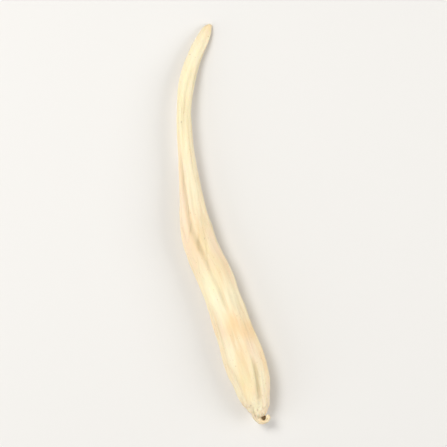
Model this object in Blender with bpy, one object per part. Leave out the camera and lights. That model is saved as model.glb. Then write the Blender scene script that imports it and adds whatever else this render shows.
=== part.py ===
"""One dried, peeled safed musli root, lying on a table.

The root grew in one piece and is one solid. From its thin tail it runs along a slim, arched neck into
a swollen body, and ends in a small curled stub. Each cross-section is an oval that drying has pulled
a little flat-sided, with furrows running lengthwise. The underside is flat where the root rests.

Lengths are in millimetres until the mesh is made in metres. +Z is up and the table is z = 0.
"Along" is the distance from the tail tip. An angle round the root is 0 at its right side, seen from
above with the tail at the far end, 90 on top, 180 at its left side and 270 underneath.
"""

import math

import bmesh
import bpy
import numpy as np

NODE_NAME = "safed_musli_root"
MM = 0.001

# Driving dimensions
SPAN = 78.0  # from the tail tip to the end of the body, in a straight line
SWING = 15.0  # how far the body end lies to the right of the neck
BODY_WIDTH = 8.0
BODY_HEIGHT = 7.0
NECK_ARCH = 1.9  # daylight under the middle of the neck
STUB_WIDTH = 1.0

# Stations from the tail to the body end, each a share of one driving dimension:
# distance down the span, sideways place in the swing, width and height of the body, lift in the arch.
# Where the lift is below zero, the underside is cut flat by the table.
STATIONS = np.array([
    (0.000, 0.340, 0.09, 0.08, 0.06),
    (0.012, 0.300, 0.22, 0.17, 0.02),
    (0.032, 0.253, 0.29, 0.25, 0.02),
    (0.090, 0.115, 0.37, 0.34, 0.24),
    (0.165, 0.019, 0.40, 0.39, 0.62),
    (0.212, 0.000, 0.36, 0.37, 0.86),
    (0.320, 0.027, 0.40, 0.42, 1.00),
    (0.425, 0.092, 0.55, 0.56, 0.76),
    (0.545, 0.201, 0.84, 0.82, 0.16),
    (0.642, 0.421, 0.90, 0.92, -0.10),
    (0.705, 0.536, 0.87, 0.95, -0.13),
    (0.770, 0.652, 0.97, 1.00, -0.16),
    (0.837, 0.774, 1.01, 1.00, -0.14),
    (0.893, 0.872, 0.92, 0.94, -0.06),
    (0.930, 0.918, 0.79, 0.84, 0.06),
    (0.958, 0.956, 0.61, 0.68, 0.28),
    (0.973, 0.965, 0.45, 0.52, 0.62),
])

# The stub curls anticlockwise, seen from above, round a small pit beside the body end
PIT_CENTRE = (1.044, 0.9876)  # sideways share of the swing and share of the span
STUB_FIRST_ANGLE = 188.0
STUB_LAST_ANGLE = 402.0
STUB_RISE = 0.9
# Curl radius and tube width as shares of the stub width, and tube height as a share of that width
STUB_STATIONS = np.array([
    (1.16, 1.76, 1.15),
    (0.96, 1.28, 1.10),
    (0.80, 0.98, 1.00),
    (0.73, 0.86, 1.00),
    (0.73, 0.88, 1.00),
    (0.77, 0.96, 1.00),
    (0.80, 0.62, 1.00),
])

# Furrows seen from above, then those of the sides and the underside:
# where each starts and ends along, its angle at both, its depth and its width
FURROWS = (
    (68.0, 78.2, 62.0, 76.0, 0.52, 1.00),
    (51.0, 59.5, 95.0, 89.0, 0.32, 0.85),
    (27.5, 47.0, 147.0, 92.0, 0.42, 1.15),
    (53.0, 60.0, 59.0, 65.0, 0.24, 0.90),
    (42.5, 53.5, 94.0, 99.0, 0.26, 0.75),
    (38.0, 44.5, 159.0, 136.0, 0.20, 0.75),
    (61.0, 76.0, 88.0, 112.0, 0.30, 2.60),
    (36.0, 62.0, 47.0, 36.0, 0.24, 1.40),
    (9.0, 24.0, 70.0, 96.0, 0.16, 0.80),
    (56.0, 79.0, 140.0, 152.0, 0.20, 1.90),
    (38.0, 70.0, 178.0, 190.0, 0.46, 1.20),
    (20.0, 44.0, 205.0, 188.0, 0.30, 0.90),
    (46.0, 78.0, 219.0, 232.0, 0.42, 1.10),
    (28.0, 58.0, 262.0, 246.0, 0.34, 1.00),
    (44.0, 76.0, 318.0, 302.0, 0.42, 1.10),
    (24.0, 50.0, 340.0, 322.0, 0.32, 0.90),
    (54.0, 78.0, 352.0, 366.0, 0.44, 1.20),
    (3.0, 17.0, 238.0, 262.0, 0.18, 0.70),
    (3.0, 15.0, 10.0, 30.0, 0.16, 0.70),
)
LIP_SHARE = 0.22  # how far a furrow's two lips stand up, as a share of its depth
LIP_OFFSET = 1.5  # how far they stand from its middle, in half widths
FURROW_TAPER = 4.0  # length over which a furrow runs out at each end

# Flats left by the peeling knife: start and end along, angle at both, and depth as a share of the radius
FLATS = (
    (57.0, 79.0, 92.0, 96.0, 0.060),
    (54.0, 78.0, 146.0, 152.0, 0.070),
    (60.0, 80.0, 40.0, 34.0, 0.050),
    (30.0, 58.0, 70.0, 52.0, 0.060),
    (4.0, 30.0, 84.0, 98.0, 0.070),
    (34.0, 66.0, 200.0, 214.0, 0.060),
    (24.0, 60.0, 318.0, 330.0, 0.060),
)
FLAT_TAPER = 6.0
FLAT_REACH = 60.0  # how far round the root a flat can reach to either side of its middle

# Flat sides left by drying: number of sides, depth as a share of the radius, turns in the root's length
FLAT_SIDES = ((3, 0.022, 0.35), (5, 0.018, -0.55))

# Swellings along the root: spacing, and depth as a share of the radius
SWELLINGS = ((17.0, 0.022), (9.5, 0.013))

# Mesh
SIDES = 42
RING_SPACING = 0.82
STUB_RING_SPACING = 0.30

# Finish
FLESH_COLOUR = (0.86, 0.72, 0.47, 1.0)
FLESH_ROUGHNESS = 0.62


def course_points():
    """Rows of x, y, z, half width and half height along the root, from tail tip to stub end."""
    down, sideways, width, height, lift = STATIONS.T
    half_height = height * BODY_HEIGHT / 2
    body = np.column_stack([
        sideways * SWING,
        -down * SPAN,
        lift * NECK_ARCH + half_height,
        width * BODY_WIDTH / 2,
        half_height,
    ])

    curl, tube, tallness = (STUB_STATIONS * STUB_WIDTH).T
    share = np.linspace(0, 1, len(STUB_STATIONS))
    turn = np.radians(STUB_FIRST_ANGLE + share * (STUB_LAST_ANGLE - STUB_FIRST_ANGLE))
    stub = np.column_stack([
        PIT_CENTRE[0] * SWING + curl * np.cos(turn),
        -PIT_CENTRE[1] * SPAN + curl * np.sin(turn),
        body[-1, 2] + share * STUB_RISE,
        tube / 2,
        tube / 2 * tallness / STUB_WIDTH,
    ])
    return np.vstack([body, stub])


def curve_through(rows, knots, places):
    """Values at the given places on a smooth curve through rows, one row for each knot."""
    slopes = np.gradient(rows, knots, axis=0)
    first = np.clip(np.searchsorted(knots, places) - 1, 0, len(knots) - 2)
    gap = (knots[first + 1] - knots[first])[:, None]
    t = (places - knots[first])[:, None] / gap
    return (
        (2 * t**3 - 3 * t**2 + 1) * rows[first]
        + (t**3 - 2 * t**2 + t) * gap * slopes[first]
        + (3 * t**2 - 2 * t**3) * rows[first + 1]
        + (t**3 - t**2) * gap * slopes[first + 1]
    )


def turned_from(angle, middle):
    """Degrees from one angle to another, the short way round."""
    return (angle - middle + 180) % 360 - 180


def fade(along, start, end, taper):
    """1 between start and end, falling smoothly to 0 at both over the taper."""
    inside = np.clip(np.minimum(along - start, end - along) / taper, 0, 1)
    return np.sin(inside * math.pi / 2)


def furrow_depth(along, angle, radius):
    """How far the furrows sink the surface at a place: below zero on their lips."""
    depth = np.zeros(np.broadcast(along, angle).shape)
    for start, end, first_angle, last_angle, deep, wide in FURROWS:
        share = np.clip((along - start) / (end - start), 0, 1)
        middle = first_angle + share * (last_angle - first_angle)
        across = np.radians(turned_from(angle, middle)) * radius / (wide / 2)
        strength = deep * fade(along, start, end, FURROW_TAPER)
        lips = np.exp(-((np.abs(across) - LIP_OFFSET) ** 2))
        depth += strength * (np.exp(-(across**2)) - LIP_SHARE * lips)
    return depth


def flat_cut(along, angle):
    """Share of the radius that the peeling knife took away at its flats."""
    cut = np.zeros(np.broadcast(along, angle).shape)
    for start, end, first_angle, last_angle, deep in FLATS:
        share = np.clip((along - start) / (end - start), 0, 1)
        middle = first_angle + share * (last_angle - first_angle)
        depth = deep * fade(along, start, end, FLAT_TAPER)
        near = np.radians(np.clip(turned_from(angle, middle), -FLAT_REACH, FLAT_REACH))
        cut = np.maximum(cut, 1 - (1 - depth) / np.cos(near))
    return cut


def section_scale(along, angle, length):
    """How much larger or smaller than its plain oval the root is: knife flats, dried sides, swellings."""
    scale = 1 - flat_cut(along, angle)
    for sides, depth, turns in FLAT_SIDES:
        scale += depth * np.cos(sides * np.radians(angle + 360 * turns * along / length))
    for spacing, depth in SWELLINGS:
        scale += depth * np.sin(2 * math.pi * along / spacing)
    return scale


def surface_rings():
    """Points of the surface in rings from tail to stub, with the two end points."""
    rows = course_points()
    steps = np.linalg.norm(np.diff(rows[:, :3], axis=0), axis=1)
    knots = np.concatenate([[0], np.cumsum(steps)])
    length = knots[-1]
    stub_start = knots[len(STATIONS)]

    body_count = round(stub_start / RING_SPACING)
    stub_count = round((length - stub_start) / STUB_RING_SPACING)
    along = np.concatenate([
        np.linspace(0, stub_start, body_count, endpoint=False),
        np.linspace(stub_start, length, stub_count),
    ])
    course = curve_through(rows, knots, along)
    centre, half_width, half_height = course[:, :3], course[:, 3:4], course[:, 4:5]

    ahead = np.gradient(centre, along, axis=0)
    ahead /= np.linalg.norm(ahead, axis=1, keepdims=True)
    right = np.cross((0, 0, 1), ahead)
    right /= np.linalg.norm(right, axis=1, keepdims=True)
    up = np.cross(ahead, right)

    along = along[:, None]
    angle = np.arange(SIDES)[None, :] * 360 / SIDES
    radius = (half_width + half_height) / 2
    scale = section_scale(along, angle, length) - furrow_depth(along, angle, radius) / radius
    out_right = half_width * scale * np.cos(np.radians(angle))
    out_up = half_height * scale * np.sin(np.radians(angle))
    rings = (
        centre[:, None, :]
        + out_right[:, :, None] * right[:, None, :]
        + out_up[:, :, None] * up[:, None, :]
    )
    tail_tip = centre[0] - ahead[0] * half_width[0] / 2
    stub_tip = centre[-1] + ahead[-1] * half_width[-1] / 2
    return rings, tail_tip, stub_tip


def root_mesh():
    """The root as one closed mesh, cut flat by the table and centred over its middle."""
    rings, tail_tip, stub_tip = surface_rings()
    bm = bmesh.new()
    loops = [[bm.verts.new(point * MM) for point in ring] for ring in rings]
    tail = bm.verts.new(tail_tip * MM)
    stub = bm.verts.new(stub_tip * MM)
    for side in range(SIDES):
        after = (side + 1) % SIDES
        bm.faces.new((tail, loops[0][after], loops[0][side]))
        bm.faces.new((stub, loops[-1][side], loops[-1][after]))
        for ring, further in zip(loops, loops[1:]):
            bm.faces.new((ring[side], ring[after], further[after], further[side]))

    everything = bm.verts[:] + bm.edges[:] + bm.faces[:]
    bmesh.ops.bisect_plane(bm, geom=everything, plane_co=(0, 0, 0), plane_no=(0, 0, -1), clear_outer=True)
    rim = [edge for edge in bm.edges if edge.is_boundary]
    flat = bmesh.ops.contextual_create(bm, geom=rim)["faces"]
    bmesh.ops.triangulate(bm, faces=flat, ngon_method="BEAUTY")
    bmesh.ops.recalc_face_normals(bm, faces=bm.faces)

    places = np.array([vert.co for vert in bm.verts])
    middle = (places.min(axis=0) + places.max(axis=0)) / 2
    bmesh.ops.translate(bm, verts=bm.verts, vec=(-middle[0], -middle[1], 0))

    mesh = bpy.data.meshes.new(NODE_NAME)
    bm.to_mesh(mesh)
    bm.free()
    mesh.shade_smooth()
    return mesh


def flesh_material():
    """Dry, cream-coloured flesh with a faint waxy sheen."""
    material = bpy.data.materials.new("root_flesh")
    material.use_nodes = True
    shader = material.node_tree.nodes["Principled BSDF"]
    shader.inputs["Base Color"].default_value = FLESH_COLOUR
    shader.inputs["Roughness"].default_value = FLESH_ROUGHNESS
    shader.inputs["Metallic"].default_value = 0.0
    return material


def main():
    for old in list(bpy.data.objects):
        bpy.data.objects.remove(old)
    root = bpy.data.objects.new(NODE_NAME, root_mesh())
    root.data.materials.append(flesh_material())
    bpy.context.scene.collection.objects.link(root)


main()
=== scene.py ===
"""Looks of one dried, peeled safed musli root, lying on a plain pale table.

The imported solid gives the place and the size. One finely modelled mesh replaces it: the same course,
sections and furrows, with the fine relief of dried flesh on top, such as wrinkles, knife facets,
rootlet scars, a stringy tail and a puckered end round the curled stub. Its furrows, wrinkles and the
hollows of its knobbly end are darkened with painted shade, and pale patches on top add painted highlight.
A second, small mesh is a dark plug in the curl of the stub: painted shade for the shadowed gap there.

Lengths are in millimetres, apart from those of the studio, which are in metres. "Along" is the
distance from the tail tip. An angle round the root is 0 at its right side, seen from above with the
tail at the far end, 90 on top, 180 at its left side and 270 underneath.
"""

import math
import random

import bpy
import numpy as np
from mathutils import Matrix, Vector, noise


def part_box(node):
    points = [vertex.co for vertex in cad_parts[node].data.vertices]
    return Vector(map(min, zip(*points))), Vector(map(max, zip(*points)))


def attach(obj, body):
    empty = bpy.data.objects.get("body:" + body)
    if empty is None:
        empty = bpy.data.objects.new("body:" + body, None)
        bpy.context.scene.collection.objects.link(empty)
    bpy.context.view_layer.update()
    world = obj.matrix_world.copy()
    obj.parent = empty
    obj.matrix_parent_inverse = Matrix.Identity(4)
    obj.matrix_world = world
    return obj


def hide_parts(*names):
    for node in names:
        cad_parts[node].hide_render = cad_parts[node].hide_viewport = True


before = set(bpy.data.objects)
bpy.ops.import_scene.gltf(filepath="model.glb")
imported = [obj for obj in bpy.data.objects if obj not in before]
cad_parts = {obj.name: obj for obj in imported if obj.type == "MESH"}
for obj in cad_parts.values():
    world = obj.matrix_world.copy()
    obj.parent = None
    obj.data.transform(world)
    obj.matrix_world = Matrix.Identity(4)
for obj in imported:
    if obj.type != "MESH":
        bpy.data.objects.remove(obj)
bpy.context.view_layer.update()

NODE_NAME = "safed_musli_root"
MM = 0.001

# Form of the root, as its solid has it
SPAN = 78.0  # from the tail tip to the end of the body, in a straight line
SWING = 15.0  # how far the body end lies to the right of the neck
BODY_WIDTH = 8.0
BODY_HEIGHT = 7.0
NECK_ARCH = 1.9  # daylight under the middle of the neck
STUB_WIDTH = 1.0

# Stations from the tail to the body end, each a share of one driving dimension:
# distance down the span, sideways place in the swing, width and height of the body, lift in the arch
STATIONS = np.array([
    (0.000, 0.340, 0.09, 0.08, 0.06),
    (0.012, 0.300, 0.22, 0.17, 0.02),
    (0.032, 0.253, 0.29, 0.25, 0.02),
    (0.090, 0.115, 0.37, 0.34, 0.24),
    (0.165, 0.019, 0.40, 0.39, 0.62),
    (0.212, 0.000, 0.36, 0.37, 0.86),
    (0.320, 0.027, 0.40, 0.42, 1.00),
    (0.425, 0.092, 0.55, 0.56, 0.76),
    (0.545, 0.201, 0.84, 0.82, 0.16),
    (0.642, 0.421, 0.90, 0.92, -0.10),
    (0.705, 0.536, 0.87, 0.95, -0.13),
    (0.770, 0.652, 0.97, 1.00, -0.16),
    (0.837, 0.774, 1.01, 1.00, -0.14),
    (0.893, 0.872, 0.92, 0.94, -0.06),
    (0.930, 0.918, 0.79, 0.84, 0.06),
    (0.958, 0.956, 0.61, 0.68, 0.28),
    (0.973, 0.965, 0.45, 0.52, 0.62),
])

# The stub curls anticlockwise, seen from above, round a small pit beside the body end
PIT_CENTRE = (1.044, 0.9876)  # sideways share of the swing and share of the span
STUB_FIRST_ANGLE = 188.0
STUB_LAST_ANGLE = 402.0
STUB_RISE = 0.9
# Curl radius and tube width as shares of the stub width, and tube height as a share of the tube width
STUB_STATIONS = np.array([
    (1.16, 1.76, 1.15),
    (0.96, 1.28, 1.10),
    (0.80, 0.98, 1.00),
    (0.73, 0.86, 1.00),
    (0.73, 0.88, 1.00),
    (0.77, 0.96, 1.00),
    (0.80, 0.62, 1.00),
])

# Furrows: where each starts and ends along, its angle at both, its depth and its width
FURROWS = (
    (68.0, 78.2, 62.0, 76.0, 0.52, 1.00),
    (51.0, 59.5, 95.0, 89.0, 0.32, 0.85),
    (27.5, 47.0, 147.0, 92.0, 0.42, 1.15),
    (53.0, 60.0, 59.0, 65.0, 0.24, 0.90),
    (42.5, 53.5, 94.0, 99.0, 0.26, 0.75),
    (38.0, 44.5, 159.0, 136.0, 0.20, 0.75),
    (61.0, 76.0, 88.0, 112.0, 0.30, 2.60),
    (36.0, 62.0, 47.0, 36.0, 0.24, 1.40),
    (9.0, 24.0, 70.0, 96.0, 0.16, 0.80),
    (56.0, 79.0, 140.0, 152.0, 0.20, 1.90),
    (38.0, 70.0, 178.0, 190.0, 0.46, 1.20),
    (20.0, 44.0, 205.0, 188.0, 0.30, 0.90),
    (46.0, 78.0, 219.0, 232.0, 0.42, 1.10),
    (28.0, 58.0, 262.0, 246.0, 0.34, 1.00),
    (44.0, 76.0, 318.0, 302.0, 0.42, 1.10),
    (24.0, 50.0, 340.0, 322.0, 0.32, 0.90),
    (54.0, 78.0, 352.0, 366.0, 0.44, 1.20),
    (3.0, 17.0, 238.0, 262.0, 0.18, 0.70),
    (3.0, 15.0, 10.0, 30.0, 0.16, 0.70),
)
LIP_SHARE = 0.22  # how far a furrow's two lips stand up, as a share of its depth
LIP_OFFSET = 1.5  # how far they stand from its middle, in half widths
FURROW_TAPER = 4.0  # length over which a furrow runs out at each end

# Flats left by the peeling knife: start and end along, angle at both, and depth as a share of the radius
FLATS = (
    (57.0, 79.0, 92.0, 96.0, 0.060),
    (54.0, 78.0, 146.0, 152.0, 0.070),
    (60.0, 80.0, 40.0, 34.0, 0.050),
    (30.0, 58.0, 70.0, 52.0, 0.060),
    (4.0, 30.0, 84.0, 98.0, 0.070),
    (34.0, 66.0, 200.0, 214.0, 0.060),
    (24.0, 60.0, 318.0, 330.0, 0.060),
)
FLAT_TAPER = 6.0
FLAT_REACH = 60.0  # how far round the root a flat can reach to either side of its middle

# Flat sides left by drying: number of sides, depth as a share of the radius, turns in the root's length
FLAT_SIDES = ((3, 0.022, 0.35), (5, 0.018, -0.55))

# Swellings along the root: spacing, and depth as a share of the radius
SWELLINGS = ((17.0, 0.022), (9.5, 0.013))

# From here to the scars comes the fine relief, which the solid doesn't have
RANDOM_SEED = 27  # of the draws that place its wrinkles, knife strokes and hidden scars

# Fine furrows that run slantwise where the neck widens into the body, in the same terms as the others
FINE_FURROWS = (
    (39.0, 44.5, 98.0, 136.0, 0.11, 0.45),
    (41.0, 47.0, 74.0, 116.0, 0.13, 0.50),
    (43.0, 50.0, 58.0, 104.0, 0.13, 0.45),
    (45.5, 51.0, 112.0, 142.0, 0.09, 0.45),
)

# Wrinkles that wander lengthwise
WRINKLE_COUNT = 240
WRINKLE_LENGTH = (2.5, 13.0)
WRINKLE_WIDTH = (0.18, 0.50)
WRINKLE_DEPTH = (0.020, 0.150)
WRINKLE_DRIFT = 1.2  # most degrees that one turns round the root in each millimetre
WRINKLE_SWAY = (0.5, 3.0)  # degrees that one sways to either side of its course
WRINKLE_SWAY_LENGTH = (4.0, 9.0)
WRINKLE_SHADE = 1.8  # how strongly one is darkened with painted shade, where a furrow 1 mm wide and as deep has 1

# Small strokes of the peeling knife
FACET_COUNT = 36
FACET_LENGTH = (7.0, 20.0)
FACET_CUT = (0.010, 0.040)  # depth of a stroke as a share of the radius
FACET_TAPER = 3.0
FACET_DRIFT = 1.0  # most degrees that one turns round the root in each millimetre
FACET_START_MARGINS = (2.0, 14.0)  # least distance of its start from the tail tip and from the stub's end

# Unevenness of the flesh. Each noise has the size of its blobs, how far the root's length is squeezed,
# which draws the blobs out into streaks, and its octaves.
LUMP_HEIGHT = 0.090
LUMP_NOISE = (2.2, 0.45, 3)
RIDGE_HEIGHT = 0.070
RIDGE_NOISE = (0.95, 0.12, 2)
FIBRE_HEIGHT = 0.020
FIBRE_NOISE = (0.36, 0.08, 3)
KNOBBLE_HEIGHT = 0.070
KNOBBLE_NOISE = (0.75, 1.0, 2)
KNOBBLE_START = 74.5  # where the knobbly body end begins
KNOBBLE_FULL = 78.5  # where it is at its roughest
CREASE_SHADE = 0.45  # how strongly the hollows between the knobbles take the painted shade of a furrow
NOISE_FADE = 0.8  # how fast the finer octaves lose their height
NOISE_STEP = 2.1  # how much finer each octave is than the one before

# Strings of fibre on the shrunken tail
TAIL_STRINGS = 5
TAIL_STRING_DEPTH = 0.09
TAIL_STRINGS_END = 10.0  # where they have died away
TAIL_STRING_TWIST = 3.0  # degrees in each millimetre

# Puckers that gather towards the stub
PUCKERS = 9
PUCKER_DEPTH = 0.07
PUCKER_START = 75.0
PUCKER_RISE = 5.0  # length over which they deepen
PUCKER_REACH = 1.5  # how far they run onto the stub
PUCKER_FALL = 2.0  # length over which they run out there
PUCKER_TWIST = -2.0  # degrees in each millimetre

# Relief is lower where the root is thin: the radius from which it is full, and its least share
WRINKLE_THINNING = (2.5, 0.3)
LUMP_THINNING = (3.0, 0.15)
FIBRE_THINNING = (1.5, 0.2)
STRING_THINNING = (1.2, 0.0)

# Pale warts at the body end: place along, angle, radius
WARTS = (
    (78.8, 73.0, 0.26),
    (79.7, 90.0, 0.30),
    (78.2, 52.0, 0.20),
    (79.0, 112.0, 0.22),
    (78.6, 140.0, 0.24),
    (77.9, 200.0, 0.28),
    (78.9, 250.0, 0.30),
    (78.3, 310.0, 0.26),
)
WART_HEIGHT = 0.12
WART_STEEPNESS = 1.5  # of its side, where 1 is a soft mound

# Small scars where rootlets grew, those seen from above: place along, angle, radius
SCARS = (
    (79.9, 116.0, 0.24),
    (78.9, 92.0, 0.15),
    (77.4, 117.0, 0.17),
    (79.5, 62.0, 0.14),
    (43.6, 68.0, 0.14),
    (20.5, 112.0, 0.13),
)
SCAR_DEPTH = 0.07
SCAR_STRETCH = 1.5  # how much longer than wide a scar is
SCAR_RIM_HEIGHT = 0.4  # of the soft rim round it, as a share of its depth
SCAR_RIM_SIZE = 2.0  # of that rim, as a share of its radius
SCAR_DARK_SIZE = 0.8  # of its dark middle, as a share of its radius

# The other scars, at the sides and underneath
HIDDEN_SCAR_COUNT = 9
HIDDEN_SCAR_RADIUS = (0.14, 0.30)
HIDDEN_SCAR_ANGLES = (170.0, 370.0)
HIDDEN_SCAR_MARGIN = 12.0  # least distance from the tail tip and from the stub's end

# The dark plug in the curl of the stub, painted shade for the shadowed gap there: its size in plan, and
# its profile from the middle of its top, over its rim, to the middle of its underside, as shares of that
# size out and up
PLUG_RADIUS = 0.52
PLUG_HEIGHT = 0.62  # of its rim above the middle line of the body end
PLUG_PROFILE = ((0.22, -0.62), (0.50, -0.52), (0.78, -0.22), (1.00, 0.00), (0.98, -0.45), (0.55, -1.00))
PLUG_SIDES = 48
PLUG_FOLDS = 5
PLUG_FOLD_DEPTH = 0.14
PLUG_FOLD_TWIST = 3.0  # radians that the folds turn from its middle to its rim
PLUG_ROUNDING = 2  # how often its faces are split to round it

# Soft patches of each tint: place along, angle, half length, half width, strength
PATCHES = {
    "tan": (
        (0.0, 90.0, 1.6, 2.0, 0.80),
        (61.6, 84.0, 2.7, 1.6, 1.00),
        (63.6, 48.0, 2.6, 2.2, 1.00),
        (67.5, 74.0, 3.5, 1.6, 0.55),
        (50.0, 75.0, 4.0, 1.2, 0.35),
        (43.5, 84.0, 3.5, 1.3, 0.45),
        (44.5, 112.0, 5.5, 1.7, 0.70),
        (38.8, 112.0, 3.5, 0.9, 0.75),
        (31.0, 152.0, 4.5, 0.6, 0.60),
        (69.0, 28.0, 9.0, 1.0, 0.50),
    ),
    "yellow": (
        (72.5, 110.0, 4.5, 1.3, 0.80),
        (45.0, 74.0, 3.0, 0.7, 0.70),
        (52.0, 92.0, 3.2, 1.4, 0.60),
    ),
    "blush": (
        (37.0, 140.0, 11.0, 2.0, 0.90),
        (62.7, 133.0, 5.0, 1.1, 0.50),
        (67.5, 55.0, 3.2, 1.4, 0.70),
        # Painted reflection: a pale pink rim of light thrown back along the right edge near the body end
        (76.0, 27.0, 3.5, 0.8, 0.80),
        (78.0, 62.0, 2.0, 1.2, 0.60),
        (47.0, 118.0, 4.0, 1.2, 0.50),
        (45.5, 42.0, 3.0, 1.2, 0.70),
        (62.0, 200.0, 9.0, 2.2, 0.60),
        (30.0, 330.0, 8.0, 1.6, 0.50),
    ),
    "green": (
        (16.0, 90.0, 12.0, 2.4, 0.60),
        (52.5, 130.0, 5.0, 1.6, 0.50),
        (72.0, 74.0, 4.5, 0.5, 0.60),
    ),
    # Pale patches on top and on the left flank are painted highlight where the tail, the neck, the ridges,
    # the body end and the flank catch the light, laid over the flesh's own pale tone; the one underneath
    # is only that tone
    "pale": (
        (8.0, 90.0, 7.0, 2.2, 0.60),
        (34.0, 78.0, 6.0, 1.6, 0.60),
        (55.0, 112.0, 5.5, 1.7, 0.90),
        (56.0, 58.0, 2.8, 1.6, 0.85),
        (67.0, 128.0, 3.5, 1.2, 0.90),
        (73.5, 50.0, 4.5, 0.9, 0.60),
        (77.8, 88.0, 1.9, 1.7, 0.80),
        (74.0, 148.0, 4.0, 0.8, 0.70),
        (55.0, 290.0, 12.0, 2.0, 0.50),
    ),
}
PATCH_STEEPNESS = 1.3  # of its edge, where 1 fades softly

# Colours of those tints, from the first that is laid on to the last
TINTS = {
    "tan": (0.90, 0.66, 0.37, 1),
    "yellow": (0.93, 0.78, 0.46, 1),
    "blush": (0.94, 0.755, 0.57, 1),
    "green": (0.92, 0.86, 0.56, 1),
    "pale": (0.97, 0.89, 0.64, 1),
}

# Other colours of the dried flesh, of the painted shade in its furrows, and of the dark plug that paints
# the shade in the curl of the stub
CREAM = (0.92, 0.80, 0.55, 1)
STRAW = (0.86, 0.665, 0.41, 1)
PALE = (0.96, 0.88, 0.66, 1)
BLUSH = (0.91, 0.71, 0.50, 1)
# Painted shade, laid into the furrows, the wrinkles and the hollows between the knobbles
FURROW_SHADE_BROWN = (0.58, 0.47, 0.28, 1)
FIBRE_BROWN = (0.74, 0.56, 0.32, 1)
SPECK_BROWN = (0.60, 0.42, 0.20, 1)
SCAR_BROWN = (0.30, 0.19, 0.09, 1)
# Painted shade: colours of the dark plug that fills the shadowed gap in the curl of the stub
PIT_SHADE_DARK = (0.10, 0.06, 0.025, 1)
PIT_SHADE_LIGHT = (0.34, 0.22, 0.10, 1)

# Mesh of the root: points in each ring, and spacing of the rings on the body and on the stub
SIDES = 176
RING_SPACING = 0.165
STUB_RING_SPACING = 0.065

# Studio, in metres and watts. Each soft box has a name, a place, a size, a power and a colour.
SOFT_BOXES = (
    ("key", (-0.20, 0.15, 0.44), 0.22, 1.38, (1.0, 0.99, 0.96)),
    ("right", (0.40, -0.02, 0.28), 0.30, 1.00, (1.0, 0.99, 0.97)),
    ("left", (-0.40, -0.16, 0.22), 0.30, 0.60, (1.0, 0.99, 0.97)),
)
GLOW_COLOUR = (1.0, 0.99, 0.97, 1)
GLOW_STRENGTH = 0.37
FLOOR_COLOUR = (0.80, 0.79, 0.775, 1)
FLOOR_SIZE = 3.0
FLOOR_GAP = 0.00003  # under the root, so that no two faces coincide
CAMERA_HEIGHT = 0.45
NEAREST_SEEN = 0.01
VIEW_WIDTH = 0.088  # what the camera sees of the floor, from side to side
SENSOR_WIDTH = 36.0  # in millimetres


def course_points():
    """Rows of x, y, z, half width and half height along the root, from tail tip to stub end."""
    down, sideways, width, height, lift = STATIONS.T
    half_height = height * BODY_HEIGHT / 2
    body = np.column_stack([
        sideways * SWING,
        -down * SPAN,
        lift * NECK_ARCH + half_height,
        width * BODY_WIDTH / 2,
        half_height,
    ])

    curl, tube, tallness = STUB_STATIONS.T
    share = np.linspace(0, 1, len(STUB_STATIONS))
    turn = np.radians(STUB_FIRST_ANGLE + share * (STUB_LAST_ANGLE - STUB_FIRST_ANGLE))
    stub = np.column_stack([
        PIT_CENTRE[0] * SWING + curl * STUB_WIDTH * np.cos(turn),
        -PIT_CENTRE[1] * SPAN + curl * STUB_WIDTH * np.sin(turn),
        body[-1, 2] + share * STUB_RISE,
        tube * STUB_WIDTH / 2,
        tube * STUB_WIDTH / 2 * tallness,
    ])
    return np.vstack([body, stub])


def curve_through(rows, knots, places):
    """Values at the given places on a smooth curve through rows, one row for each knot."""
    slopes = np.gradient(rows, knots, axis=0)
    first = np.clip(np.searchsorted(knots, places) - 1, 0, len(knots) - 2)
    gap = (knots[first + 1] - knots[first])[:, None]
    t = (places - knots[first])[:, None] / gap
    return (
        (2 * t**3 - 3 * t**2 + 1) * rows[first]
        + (t**3 - 2 * t**2 + t) * gap * slopes[first]
        + (3 * t**2 - 2 * t**3) * rows[first + 1]
        + (t**3 - t**2) * gap * slopes[first + 1]
    )


def sampled_course():
    """For each ring its place along, its centre, half width and half height, and where the stub starts."""
    rows = course_points()
    steps = np.linalg.norm(np.diff(rows[:, :3], axis=0), axis=1)
    knots = np.concatenate([[0], np.cumsum(steps)])
    length = knots[-1]
    stub_start = knots[len(STATIONS)]
    body_count = round(stub_start / RING_SPACING)
    stub_count = round((length - stub_start) / STUB_RING_SPACING)
    along = np.concatenate([
        np.linspace(0, stub_start, body_count, endpoint=False),
        np.linspace(stub_start, length, stub_count),
    ])
    course = curve_through(rows, knots, along)
    return along, course[:, :3], course[:, 3:4], course[:, 4:5], stub_start


def directions(along, centre):
    """Unit vectors at each ring: ahead towards the stub, to its right side, and up."""
    ahead = np.gradient(centre, along, axis=0)
    ahead /= np.linalg.norm(ahead, axis=1, keepdims=True)
    right = np.cross((0, 0, 1), ahead)
    right /= np.linalg.norm(right, axis=1, keepdims=True)
    up = np.cross(ahead, right)
    return ahead, right, up


def straightened(along, angle, radius):
    """Each point's place on the root as if straight, which gives noise that follows its bends."""
    return np.stack(
        [
            radius * np.cos(np.radians(angle)),
            radius * np.sin(np.radians(angle)),
            along + 0 * angle,
        ],
        axis=2,
    )


def blank(along, angle):
    """A zero for each point of the surface."""
    return np.zeros(np.broadcast(along, angle).shape)


def turned_from(angle, middle):
    """Degrees from one angle to another, the short way round."""
    return (angle - middle + 180) % 360 - 180


def distance_round(angle, middle, radius):
    """Distance of each point from the middle angle, measured round the root."""
    return np.radians(turned_from(angle, middle)) * radius


def turning(along, start, end, first_angle, last_angle):
    """Angle of a line that turns evenly round the root from its start to its end."""
    share = np.clip((along - start) / (end - start), 0, 1)
    return first_angle + share * (last_angle - first_angle)


def fade(along, start, end, taper):
    """1 between start and end, falling smoothly to 0 at both over the taper."""
    inside = np.clip(np.minimum(along - start, end - along) / taper, 0, 1)
    return np.sin(inside * math.pi / 2)


def thinning(radius, full_radius, least):
    """Share that is left of a kind of relief where the root is thin."""
    return np.clip(radius / full_radius, least, 1)


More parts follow.
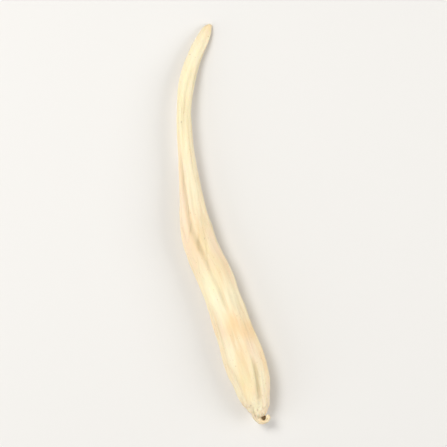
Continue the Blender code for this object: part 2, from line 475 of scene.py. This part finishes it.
def furrow_depth(along, angle, radius):
    """How far the furrows sink the surface, below zero on their lips, and how much painted shade darkens
    them, more in narrow ones.
    """
    depth = blank(along, angle)
    shade = blank(along, angle)
    for start, end, first_angle, last_angle, deep, wide in (*FURROWS, *FINE_FURROWS):
        middle = turning(along, start, end, first_angle, last_angle)
        across = distance_round(angle, middle, radius) / (wide / 2)
        strength = deep * fade(along, start, end, FURROW_TAPER)
        lips = np.exp(-((np.abs(across) - LIP_OFFSET) ** 2))
        hollow = np.exp(-(across**2))
        depth += strength * (hollow - LIP_SHARE * lips)
        shade += strength / wide * hollow
    return depth, shade


def chord_cut(turned, deep):
    """Share of the radius that a flat takes away, at an angle turned from its middle."""
    near = np.radians(np.clip(turned, -FLAT_REACH, FLAT_REACH))
    return np.clip(1 - (1 - deep) / np.cos(near), 0, None)


def flat_cut(along, angle):
    """Share of the radius that the peeling knife took away at its main flats."""
    cut = blank(along, angle)
    for start, end, first_angle, last_angle, deep in FLATS:
        middle = turning(along, start, end, first_angle, last_angle)
        depth = deep * fade(along, start, end, FLAT_TAPER)
        cut = np.maximum(cut, chord_cut(turned_from(angle, middle), depth))
    return cut


def section_scale(along, angle, length):
    """How much larger or smaller than its plain oval the root is: flat sides, swellings and flats."""
    scale = 1 - flat_cut(along, angle)
    for sides, depth, turns in FLAT_SIDES:
        scale += depth * np.cos(sides * np.radians(angle + 360 * turns * along / length))
    for spacing, depth in SWELLINGS:
        scale += depth * np.sin(2 * math.pi * along / spacing)
    return scale


def wrinkle_depth(along, angle, radius, length):
    """Depth of the narrow wrinkles that wander lengthwise all round the root, most of them shallow."""
    draw = random.Random(RANDOM_SEED)
    depth = blank(along, angle)
    shallowest, deepest = WRINKLE_DEPTH
    for _ in range(WRINKLE_COUNT):
        start = draw.uniform(0, length - WRINKLE_LENGTH[0])
        end = start + draw.uniform(*WRINKLE_LENGTH)
        angle_at_start = draw.uniform(0, 360)
        drift = draw.uniform(-WRINKLE_DRIFT, WRINKLE_DRIFT)
        sway = draw.uniform(*WRINKLE_SWAY)
        sway_length = draw.uniform(*WRINKLE_SWAY_LENGTH)
        deep = shallowest + draw.random() ** 2 * (deepest - shallowest)
        wide = draw.uniform(*WRINKLE_WIDTH)

        rows = ((along[:, 0] > start) & (along[:, 0] < end)).nonzero()[0]
        part = along[rows]
        middle = angle_at_start + drift * (part - start) + sway * np.sin(2 * math.pi * part / sway_length)
        across = distance_round(angle, middle, radius[rows]) / (wide / 2)
        tapered = deep * fade(part, start, end, (end - start) / 2)
        depth[rows] += tapered * thinning(radius[rows], *WRINKLE_THINNING) * np.exp(-(across**2))
    return depth


def facet_cut(along, angle, length):
    """Share of the radius that the small strokes of the peeling knife took away."""
    draw = random.Random(RANDOM_SEED + 1)
    cut = blank(along, angle)
    margin_at_tail, margin_at_stub = FACET_START_MARGINS
    for _ in range(FACET_COUNT):
        start = draw.uniform(margin_at_tail, length - margin_at_stub)
        end = start + draw.uniform(*FACET_LENGTH)
        angle_at_start = draw.uniform(0, 360)
        drift = draw.uniform(-FACET_DRIFT, FACET_DRIFT)
        deep = draw.uniform(*FACET_CUT)

        middle = angle_at_start + drift * (along - start)
        depth = deep * fade(along, start, end, FACET_TAPER)
        cut = np.maximum(cut, chord_cut(turned_from(angle, middle), depth))
    return cut


def scars(along, angle, radius, length):
    """Depth and darkness of the small scars where rootlets grew."""
    draw = random.Random(RANDOM_SEED + 2)
    hidden = [
        (
            draw.uniform(HIDDEN_SCAR_MARGIN, length - HIDDEN_SCAR_MARGIN),
            draw.uniform(*HIDDEN_SCAR_ANGLES),
            draw.uniform(*HIDDEN_SCAR_RADIUS),
        )
        for _ in range(HIDDEN_SCAR_COUNT)
    ]
    depth = blank(along, angle)
    dark = blank(along, angle)
    for place, middle, size in [*SCARS, *hidden]:
        away = ((along - place) / SCAR_STRETCH) ** 2 + distance_round(angle, middle, radius) ** 2
        rim = SCAR_RIM_HEIGHT * np.exp(-away / (SCAR_RIM_SIZE * size) ** 2)
        depth += SCAR_DEPTH * (np.exp(-away / size**2) - rim)
        dark = np.maximum(dark, np.exp(-away / (SCAR_DARK_SIZE * size) ** 2))
    return depth, dark


def warts(along, angle, radius):
    """Height of the small pale warts, as a share of their full height."""
    raised = blank(along, angle)
    for place, middle, size in WARTS:
        away = (along - place) ** 2 + distance_round(angle, middle, radius) ** 2
        raised = np.maximum(raised, np.exp(-((away / size**2) ** WART_STEEPNESS)))
    return raised


def tail_strings(along, angle, radius):
    """How far the tail sinks between its strings of fibre, below zero on the strings."""
    depth = TAIL_STRING_DEPTH * np.clip(1 - along / TAIL_STRINGS_END, 0, 1)
    strings = depth * np.cos(TAIL_STRINGS * np.radians(angle + TAIL_STRING_TWIST * along))
    return strings * thinning(radius, *STRING_THINNING)


def pucker_depth(along, angle, stub_start):
    """Depth of the creases that gather towards the stub and run out on it."""
    risen = np.clip((along - PUCKER_START) / PUCKER_RISE, 0, 1)
    remaining = np.clip((stub_start + PUCKER_REACH - along) / PUCKER_FALL, 0, 1)
    wave = 0.5 + 0.5 * np.cos(PUCKERS * np.radians(angle + PUCKER_TWIST * along))
    return PUCKER_DEPTH * (risen * remaining) * wave


def flesh_noise(straight, size, squeeze, octaves):
    """Smooth noise from about -1 to 1 at each point, in blobs of the given size, drawn out lengthwise."""
    places = straight.reshape(-1, 3) * (1, 1, squeeze) / size
    values = [noise.fractal(Vector(place), NOISE_FADE, NOISE_STEP, octaves) for place in places]
    return np.array(values).reshape(straight.shape[:2])


def patch_strength(tint, along, angle, radius):
    """How strongly one tint shows at each point."""
    strength = blank(along, angle)
    for place, middle, half_length, half_width, full in PATCHES[tint]:
        across = distance_round(angle, middle, radius)
        away = ((along - place) / half_length) ** 2 + (across / half_width) ** 2
        strength = np.maximum(strength, full * np.exp(-(away**PATCH_STEEPNESS)))
    return strength


def relief_and_marks(along, angle, radius, straight, stub_start):
    """How far the relief sinks the surface at each point, and how strongly each colour mark shows, painted
    shade and highlight among them.
    """
    length = along[-1, 0]
    lumps = flesh_noise(straight, *LUMP_NOISE)
    ridges = flesh_noise(straight, *RIDGE_NOISE)
    fibres = flesh_noise(straight, *FIBRE_NOISE)
    knobbles = flesh_noise(straight, *KNOBBLE_NOISE)
    knobbly = np.clip((along - KNOBBLE_START) / (KNOBBLE_FULL - KNOBBLE_START), 0, 1)
    furrows, furrow_shade = furrow_depth(along, angle, radius)
    wrinkles = wrinkle_depth(along, angle, radius, length)
    scar_depth, scar_dark = scars(along, angle, radius, length)
    wart_height = warts(along, angle, radius)
    sunk = (
        furrows
        + wrinkles
        + scar_depth
        + tail_strings(along, angle, radius)
        + pucker_depth(along, angle, stub_start)
        - knobbles * KNOBBLE_HEIGHT * knobbly
        - wart_height * WART_HEIGHT
        - lumps * LUMP_HEIGHT * thinning(radius, *LUMP_THINNING)
        - ridges * RIDGE_HEIGHT * thinning(radius, *LUMP_THINNING)
        - fibres * FIBRE_HEIGHT * thinning(radius, *FIBRE_THINNING)
    )

    marks = {tint: patch_strength(tint, along, angle, radius) for tint in TINTS}
    marks["pale"] = np.maximum(marks["pale"], wart_height)
    marks["scar"] = scar_dark
    # Painted shade in the furrows, the wrinkles and the hollows between the knobbles of the body end
    crease_shade = CREASE_SHADE * knobbly * np.clip(-knobbles, 0, 1)
    marks["furrow"] = furrow_shade + WRINKLE_SHADE * wrinkles + crease_shade
    return sunk, marks


def build_surface():
    """Points of the surface in rings, its two end points, its straightened places and its marks."""
    along, centre, half_width, half_height, stub_start = sampled_course()
    ahead, right, up = directions(along, centre)
    along = along[:, None]
    angle = np.arange(SIDES)[None, :] * 360 / SIDES
    radius = (half_width + half_height) / 2
    length = along[-1, 0]

    straight = straightened(along, angle, radius)
    sunk, marks = relief_and_marks(along, angle, radius, straight, stub_start)
    scale = section_scale(along, angle, length) - facet_cut(along, angle, length) - sunk / radius

    out_right = half_width * scale * np.cos(np.radians(angle))
    out_up = half_height * scale * np.sin(np.radians(angle))
    rings = (
        centre[:, None, :]
        + out_right[:, :, None] * right[:, None, :]
        + out_up[:, :, None] * up[:, None, :]
    )
    tips = np.array([
        centre[0] - ahead[0] * half_width[0] / 2,
        centre[-1] + ahead[-1] * half_width[-1] / 2,
    ])
    return rings, tips, straight, marks


def grid_faces(ring_count, sides):
    """Corner numbers of the faces that join the rings, and close both ends on two last points."""
    first_tip = ring_count * sides
    last_tip = first_tip + 1
    faces = []
    for ring in range(ring_count - 1):
        here = ring * sides
        for side in range(sides):
            after = (side + 1) % sides
            faces.append((here + side, here + after, here + sides + after, here + sides + side))
    last = (ring_count - 1) * sides
    for side in range(sides):
        after = (side + 1) % sides
        faces.append((first_tip, after, side))
        faces.append((last_tip, last + side, last + after))
    return faces


def store_mark(mesh, name, values):
    """Keeps one number for each point of the mesh, 0 at its two end points, for the material to read."""
    attribute = mesh.attributes.new(name, "FLOAT", "POINT")
    attribute.data.foreach_set("value", np.append(values.ravel(), (0, 0)))


def store_straight(mesh, straight):
    """Keeps the straightened place of each point of the mesh, for the material to read."""
    ends = [(0, 0, 0), (0, 0, straight[-1, -1, 2])]
    attribute = mesh.attributes.new("straight", "FLOAT_VECTOR", "POINT")
    attribute.data.foreach_set("vector", np.vstack([straight.reshape(-1, 3), ends]).ravel())


def make_piece(name, points, faces, material):
    """A smooth mesh object that rides with the root and takes its finish."""
    mesh = bpy.data.meshes.new(name)
    mesh.from_pydata((points * MM).tolist(), [], faces)
    mesh.shade_smooth()
    mesh.materials.append(material)
    piece = bpy.data.objects.new(name, mesh)
    bpy.context.scene.collection.objects.link(piece)
    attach(piece, "root")
    return piece


def make_root():
    """Lays the root's mesh on the table in the place of its solid, and says how far it was shifted."""
    rings, tips, straight, marks = build_surface()
    points = np.vstack([rings.reshape(-1, 3), tips])
    # What would reach under the table is the flat strip that the root rests on
    points[:, 2] = np.maximum(points[:, 2], 0)
    low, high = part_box(NODE_NAME)
    middle_of_solid = (np.array(low) + high) / 2 / MM
    shift = middle_of_solid - (points.min(axis=0) + points.max(axis=0)) / 2
    shift[2] = 0

    root = make_piece("root_skin", points + shift, grid_faces(len(rings), SIDES), flesh_material())
    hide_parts(NODE_NAME)
    store_straight(root.data, straight)
    for name, values in marks.items():
        store_mark(root.data, name, values)
    return shift


def make_pit_shade_plug(shift):
    """Sets the small dark plug in the curl of the stub, painted shade for the gap there, folded towards
    its middle.
    """
    body_end_height = course_points()[len(STATIONS) - 1, 2]
    middle = np.array([PIT_CENTRE[0] * SWING, -PIT_CENTRE[1] * SPAN, body_end_height + PLUG_HEIGHT])
    angle = np.arange(PLUG_SIDES) * 2 * math.pi / PLUG_SIDES
    rings = []
    for out, up in PLUG_PROFILE:
        fold = PLUG_FOLD_DEPTH * out * np.cos(PLUG_FOLDS * angle + PLUG_FOLD_TWIST * out)
        radius = PLUG_RADIUS * out * (1 + fold)
        height = PLUG_RADIUS * (up + fold)
        rings.append(np.column_stack([radius * np.cos(angle), -radius * np.sin(angle), height]))
    tips = [(0, 0, PLUG_RADIUS * PLUG_PROFILE[0][1]), (0, 0, PLUG_RADIUS * PLUG_PROFILE[-1][1])]
    points = np.vstack([*rings, tips]) + middle + shift
    # Painted shade: a dark plug where the curl of the stub leaves a shadowed gap
    plug = make_piece("pit_shade_plug", points, grid_faces(len(rings), PLUG_SIDES), pit_shade_material())
    rounded = plug.modifiers.new("rounded", "SUBSURF")
    rounded.levels = PLUG_ROUNDING
    rounded.render_levels = PLUG_ROUNDING


class Nodes:
    """A material's node tree, with short calls to add nodes and join them."""

    def __init__(self, name):
        self.material = bpy.data.materials.new(name)
        self.material.use_nodes = True
        self.tree = self.material.node_tree
        self.shader = self.tree.nodes["Principled BSDF"]

    def add(self, kind, inputs=(), **settings):
        """Adds a node, sets its properties and then its inputs, each a value or another node's output."""
        node = self.tree.nodes.new(kind)
        for name, value in settings.items():
            setattr(node, name, value)
        for name, value in dict(inputs).items():
            self.feed(node.inputs[name], value)
        return node

    def feed(self, socket, value):
        """Joins an output to a socket, or sets the socket to a value."""
        if isinstance(value, bpy.types.NodeSocket):
            self.tree.links.new(value, socket)
        else:
            socket.default_value = value

    def attribute(self, name, output="Fac"):
        """What the mesh keeps under a name for each of its points."""
        return self.add("ShaderNodeAttribute", attribute_name=name).outputs[output]

    def remap(self, value, low, high, least=0.0, most=1.0):
        """Runs from least to most while the value runs from low to high, and is held at both ends."""
        inputs = {"Value": value, "From Min": low, "From Max": high, "To Min": least, "To Max": most}
        return self.add("ShaderNodeMapRange", inputs).outputs["Result"]

    def stretched(self, place, squeeze):
        """The straightened place with its length squeezed, so that noise runs out into streaks."""
        inputs = {0: place, 1: (1, 1, squeeze)}
        return self.add("ShaderNodeVectorMath", inputs, operation="MULTIPLY").outputs[0]

    def noise(self, place, scale, detail, roughness=0.55):
        """Smooth noise from 0 to 1."""
        inputs = {"Vector": place, "Scale": scale, "Detail": detail, "Roughness": roughness}
        return self.add("ShaderNodeTexNoise", inputs).outputs["Fac"]

    def times(self, first, second):
        """The product of two numbers."""
        return self.add("ShaderNodeMath", {0: first, 1: second}, operation="MULTIPLY").outputs[0]

    def mix(self, share, first, second):
        """A colour between two colours, whose sockets on this node are the inputs 6 and 7 and output 2."""
        node = self.add("ShaderNodeMix", data_type="RGBA")
        self.feed(node.inputs[0], share)
        self.feed(node.inputs[6], first)
        self.feed(node.inputs[7], second)
        return node.outputs[2]

    def bump(self, height, distance, strength, normal=None):
        """Shading as if the surface stood out by the height, on top of an earlier bump if one is given."""
        node = self.add("ShaderNodeBump", {"Height": height, "Distance": distance, "Strength": strength})
        if normal is not None:
            self.feed(node.inputs["Normal"], normal)
        return node.outputs["Normal"]


def flesh_material():
    """Dry, waxy, cream-coloured flesh, streaked lengthwise, with painted shade in its furrows and painted
    highlights on its ridges.
    """
    nodes = Nodes("root_flesh_dry")
    straight = nodes.attribute("straight", output="Vector")

    streaks = nodes.noise(nodes.stretched(straight, squeeze=0.10), scale=1.7, detail=5)
    mottle = nodes.noise(nodes.stretched(straight, squeeze=0.40), scale=0.8, detail=4)
    fibres = nodes.noise(nodes.stretched(straight, squeeze=0.06), scale=6.0, detail=4)
    threads = nodes.noise(nodes.stretched(straight, squeeze=0.07), scale=3.2, detail=3)
    specks = nodes.noise(straight, scale=2.6, detail=1)
    grain = nodes.noise(straight, scale=12.0, detail=3)

    colour = nodes.mix(nodes.remap(streaks, low=0.40, high=0.66), CREAM, STRAW)
    colour = nodes.mix(nodes.remap(mottle, low=0.48, high=0.68, most=0.60), colour, BLUSH)
    colour = nodes.mix(nodes.remap(fibres, low=0.52, high=0.72, most=0.60), colour, PALE)
    colour = nodes.mix(nodes.remap(threads, low=0.56, high=0.74, most=0.50), colour, FIBRE_BROWN)
    uneven = nodes.remap(streaks, low=0.30, high=0.60, least=0.6)
    # The pale tint lays painted highlight on the ridges and the blush tint a painted reflected rim, over
    # the flesh's own tones
    for tint, tint_colour in TINTS.items():
        colour = nodes.mix(nodes.times(nodes.attribute(tint), uneven), colour, tint_colour)
    colour = nodes.mix(nodes.remap(specks, low=0.70, high=0.78, most=0.55), colour, SPECK_BROWN)
    # Painted shade: darker in the furrows, the wrinkles and the hollows between the knobbles
    furrow = nodes.remap(nodes.attribute("furrow"), low=0.05, high=0.50, most=0.60)
    colour = nodes.mix(furrow, colour, FURROW_SHADE_BROWN)
    scar = nodes.remap(nodes.attribute("scar"), low=0, high=1, most=0.55)
    colour = nodes.mix(scar, colour, SCAR_BROWN)

    normal = nodes.bump(threads, distance=0.12 * MM, strength=0.60)
    normal = nodes.bump(fibres, distance=0.09 * MM, strength=0.70, normal=normal)
    normal = nodes.bump(grain, distance=0.04 * MM, strength=0.50, normal=normal)

    shader = nodes.shader
    nodes.feed(shader.inputs["Base Color"], colour)
    nodes.feed(shader.inputs["Roughness"], nodes.remap(streaks, low=0.3, high=0.7, least=0.52, most=0.68))
    nodes.feed(shader.inputs["Normal"], normal)
    shader.inputs["Specular IOR Level"].default_value = 0.4
    shader.inputs["Subsurface Weight"].default_value = 0.22
    shader.inputs["Subsurface Radius"].default_value = (1.0, 0.65, 0.35)
    shader.inputs["Subsurface Scale"].default_value = 0.4 * MM
    return nodes.material


def pit_shade_material():
    """Dark, dull brown, with lighter patches: painted shade for the gap in the curl of the stub."""
    nodes = Nodes("pit_shade_brown")
    place = nodes.add("ShaderNodeTexCoord").outputs["Object"]
    patches = nodes.noise(place, scale=2500.0, detail=3)
    colour = nodes.mix(nodes.remap(patches, low=0.40, high=0.65), PIT_SHADE_DARK, PIT_SHADE_LIGHT)
    nodes.feed(nodes.shader.inputs["Base Color"], colour)
    nodes.feed(nodes.shader.inputs["Normal"], nodes.bump(patches, distance=0.06 * MM, strength=0.6))
    nodes.shader.inputs["Roughness"].default_value = 0.8
    return nodes.material


def make_floor():
    """A plain pale table top."""
    bpy.ops.mesh.primitive_plane_add(size=FLOOR_SIZE, location=(0, 0, -FLOOR_GAP))
    floor = bpy.context.object
    floor.name = "floor"
    nodes = Nodes("floor_paper")
    nodes.shader.inputs["Base Color"].default_value = FLOOR_COLOUR
    nodes.shader.inputs["Roughness"].default_value = 0.7
    floor.data.materials.append(nodes.material)


def make_soft_box(name, place, size, power, colour):
    """A square area light that faces the root."""
    lamp = bpy.data.lights.new(name, "AREA")
    lamp.size = size
    lamp.energy = power
    lamp.color = colour
    light = bpy.data.objects.new(name, lamp)
    light.location = place
    light.rotation_euler = (-Vector(place)).to_track_quat("-Z", "Y").to_euler()
    bpy.context.scene.collection.objects.link(light)


def make_studio():
    """The key light at the upper left, weaker ones at the right and left, and a glow from all round."""
    for soft_box in SOFT_BOXES:
        make_soft_box(*soft_box)
    world = bpy.data.worlds.new("glow")
    world.use_nodes = True
    background = world.node_tree.nodes["Background"]
    background.inputs["Color"].default_value = GLOW_COLOUR
    background.inputs["Strength"].default_value = GLOW_STRENGTH
    bpy.context.scene.world = world
    bpy.context.scene.view_settings.view_transform = "Standard"


def make_camera():
    """Looks straight down, with the tail at the top of the picture as in the photograph."""
    lens = bpy.data.cameras.new("camera")
    lens.sensor_width = SENSOR_WIDTH
    lens.lens = SENSOR_WIDTH * CAMERA_HEIGHT / VIEW_WIDTH
    lens.clip_start = NEAREST_SEEN
    camera = bpy.data.objects.new("camera", lens)
    camera.location = (0, 0, CAMERA_HEIGHT)
    bpy.context.scene.collection.objects.link(camera)
    bpy.context.scene.camera = camera


def main():
    make_camera()
    make_studio()
    make_floor()
    shift = make_root()
    make_pit_shade_plug(shift)


main()
